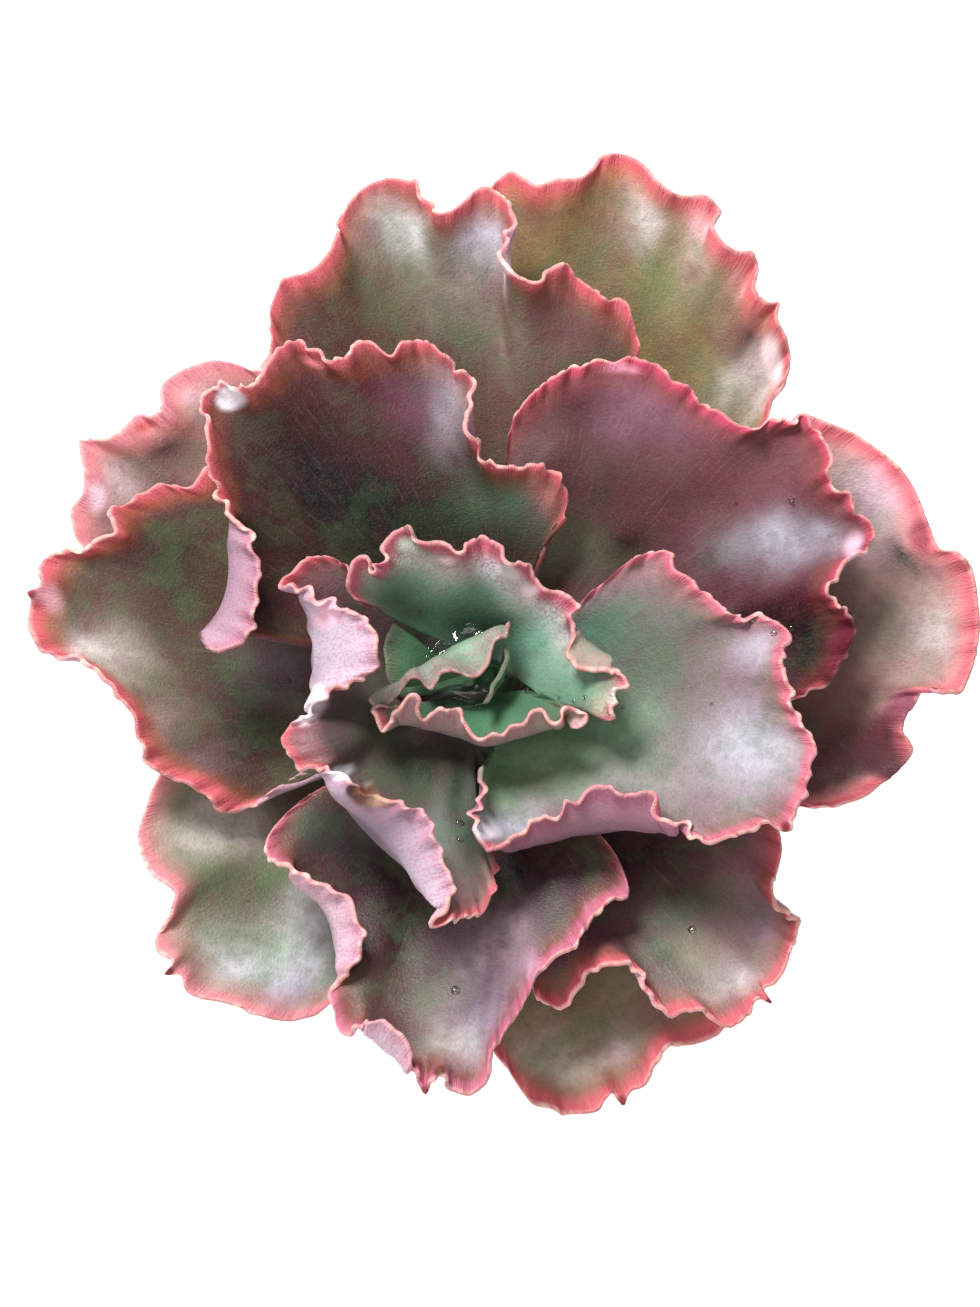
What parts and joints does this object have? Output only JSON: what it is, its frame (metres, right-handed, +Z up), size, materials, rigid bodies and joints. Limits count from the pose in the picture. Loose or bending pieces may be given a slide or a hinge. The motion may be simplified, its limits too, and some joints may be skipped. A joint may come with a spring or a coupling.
{
  "type": "potted ruffled echeveria",
  "caption": "Open rosette of broad fleshy leaves with pink ruffled edges on a short stem, in a plain clay pot.",
  "frame": {"origin": "on the surface that the pot stands on, under the middle of the rosette's reach", "axes": "+Z up; -Y towards the viewer of the picture; +X to the viewer's right"},
  "size_m": [0.2218, 0.2342, 0.1782],
  "materials": {
    "leaf_green": "satin green leaf skin, waxy, pink at the edge",
    "leaf_mauve": "satin purple-brown leaf skin with a soft bloom, pink at the edge",
    "bark": "dry scarred stem bark",
    "potting_mix": "loose dark mix with pale grit",
    "clay": "unglazed fired clay, matte",
    "water": "clear water lying among the leaves"
  },
  "bodies": {
    "root": {"leaf_00_heart": "leaf_green", "leaf_01_hood": "leaf_green", "leaf_02_inner_front": "leaf_green", "leaf_03_inner_back": "leaf_green", "leaf_04_left_cup": "leaf_mauve", "leaf_05_right_tongue": "leaf_mauve", "leaf_06_back_left": "leaf_mauve", "leaf_07_front": "leaf_mauve", "leaf_08_back_right": "leaf_mauve", "leaf_09_left": "leaf_mauve", "leaf_10_front_right": "leaf_mauve", "leaf_11_far_back": "leaf_mauve", "leaf_12_front_left": "leaf_mauve", "leaf_13_far_right": "leaf_mauve", "leaf_14_far_left": "leaf_mauve", "leaf_15_far_front": "leaf_mauve", "leaf_16_far_corner": "leaf_mauve", "leaf_17_inner_left": "leaf_green", "trunk": "bark", "soil": "potting_mix", "pot": "clay"}
  },
  "joints": []
}
